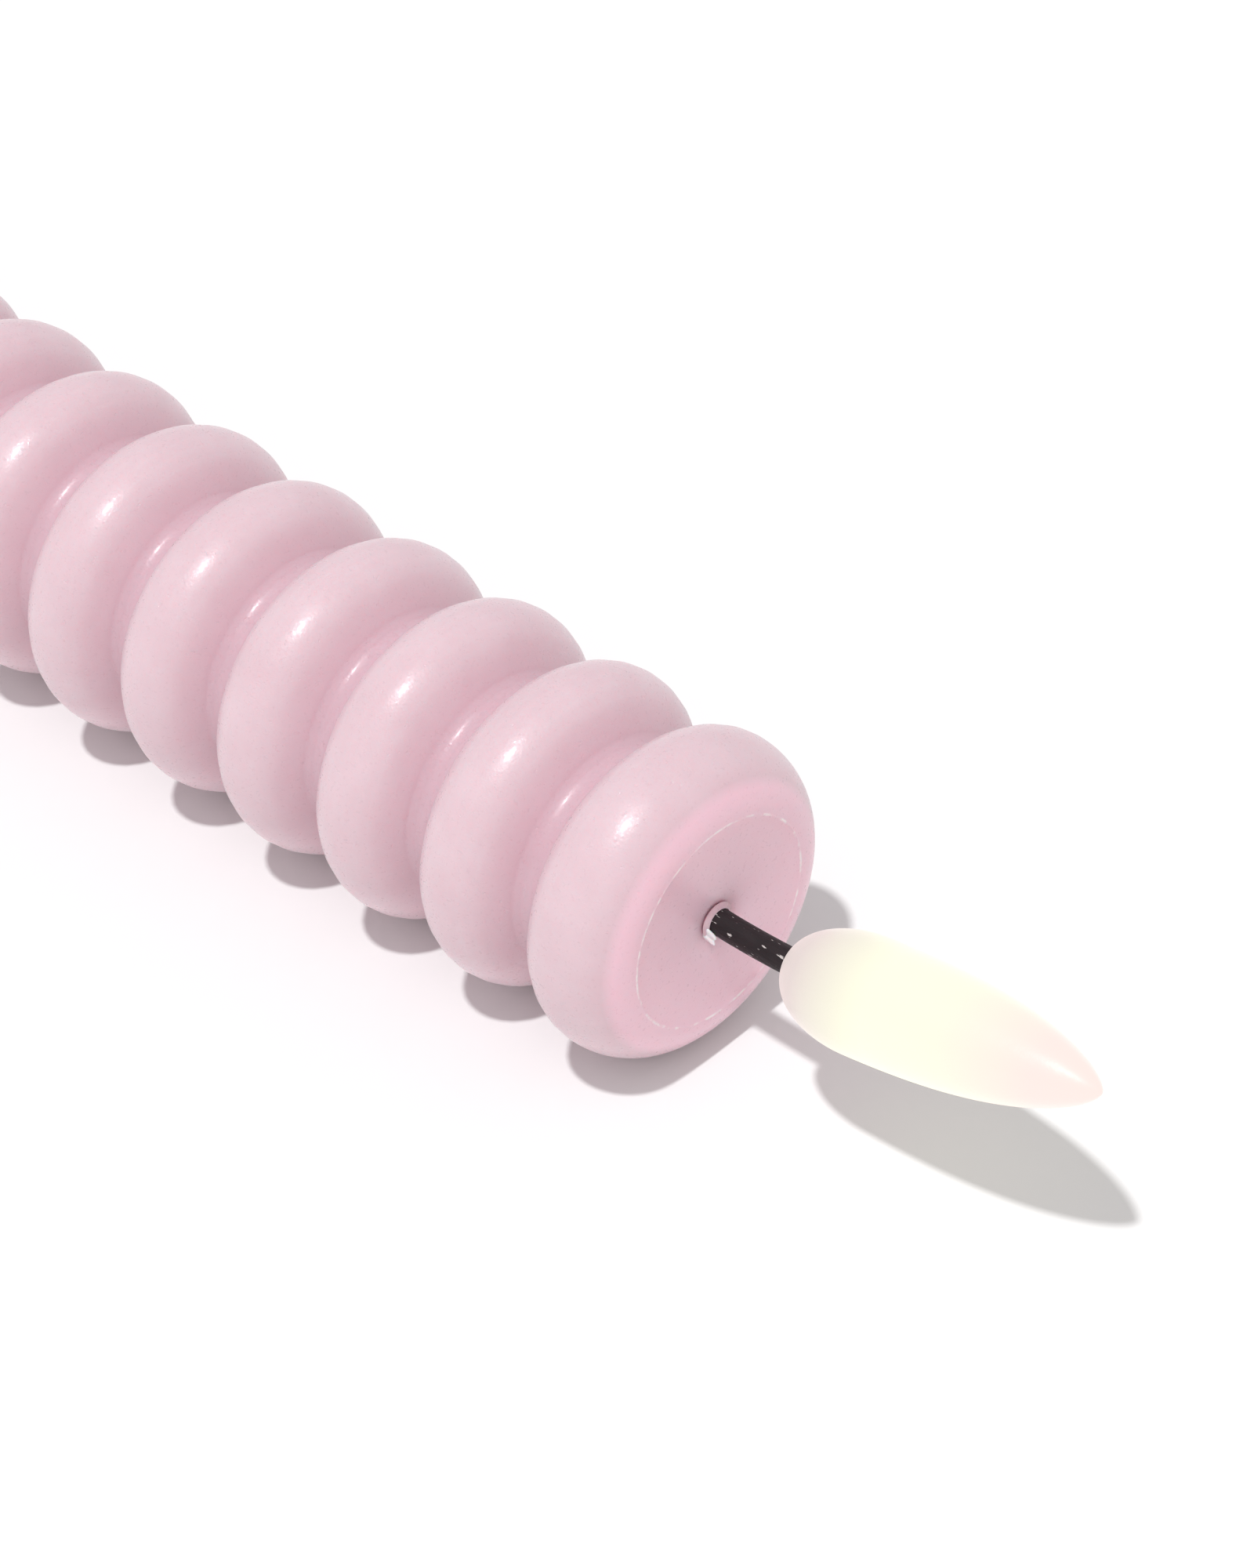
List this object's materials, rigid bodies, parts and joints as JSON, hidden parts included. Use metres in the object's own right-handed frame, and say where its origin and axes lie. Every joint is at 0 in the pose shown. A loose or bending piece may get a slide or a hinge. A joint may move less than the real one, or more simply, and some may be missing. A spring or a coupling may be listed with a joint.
{
  "type": "flameless dinner candle",
  "caption": "Battery dinner candle: ringed wax body, frosted flame tip on a wick, screw-in switch cap in the foot.",
  "frame": {"origin": "centre of the foot's underside", "axes": "+Z from the foot to the flame; the flame leans towards -Y"},
  "size_m": [0.025, 0.025, 0.2446],
  "materials": {
    "wax": "translucent pink wax",
    "frosted": "frosted translucent",
    "black": "matt",
    "steel": "plain",
    "brass": "plain",
    "clear": "clear warm",
    "glue": "dried glue",
    "green": "board lacquer",
    "wire": "insulation",
    "white": "moulded"
  },
  "bodies": {
    "candle": {"wax_body": "wax", "core_tube": "white", "core_collar": "white", "collar_contact_ring": "brass", "return_strip": "brass", "positive_contact": "brass", "board_holder": "white", "circuit_board": "green", "timer_chip": "black", "clock_crystal": "steel", "board_resistors": "wire", "board_capacitor": "steel", "core_head": "white", "wick_sleeve": "black", "wick_glue": "glue", "led_wire_positive": "wire", "led_wire_negative": "wire", "flame_tip": "frosted", "led_body": "clear", "led_leads": "steel"},
    "cells": {"lower_cell_case": "steel", "lower_cell_sleeve": "black", "lower_cell_button": "steel", "lower_cell_washer": "white", "upper_cell_case": "steel", "upper_cell_sleeve": "black", "upper_cell_button": "steel", "upper_cell_washer": "white"},
    "cap": {"base_cap": "white", "switch_body": "black", "switch_frame": "steel", "switch_pins": "steel", "switch_retainer": "white", "retainer_screws": "steel", "spring_plate": "steel", "negative_spring": "steel", "cap_contact_tab": "brass"},
    "switch_slider": {"switch_knob": "black"}
  },
  "joints": [
    {"name": "cells_drop", "type": "slide", "parent": "candle", "child": "cells", "axis": [0, 0, -1], "range_m": [0, 0.00899]},
    {"name": "cap_turn", "type": "hinge", "parent": "cells", "child": "cap", "pos_m": [0, 0, 0], "axis": [0, 0, -1], "range_deg": [0, 270]},
    {"name": "switch_slide", "type": "slide", "parent": "cap", "child": "switch_slider", "axis": [1, 0, 0], "range_m": [0, 0.002]}
  ],
  "couplings": [
    {"joint": "cap_turn", "follows": "cells_drop", "rad_per_m": 523.6}
  ]
}
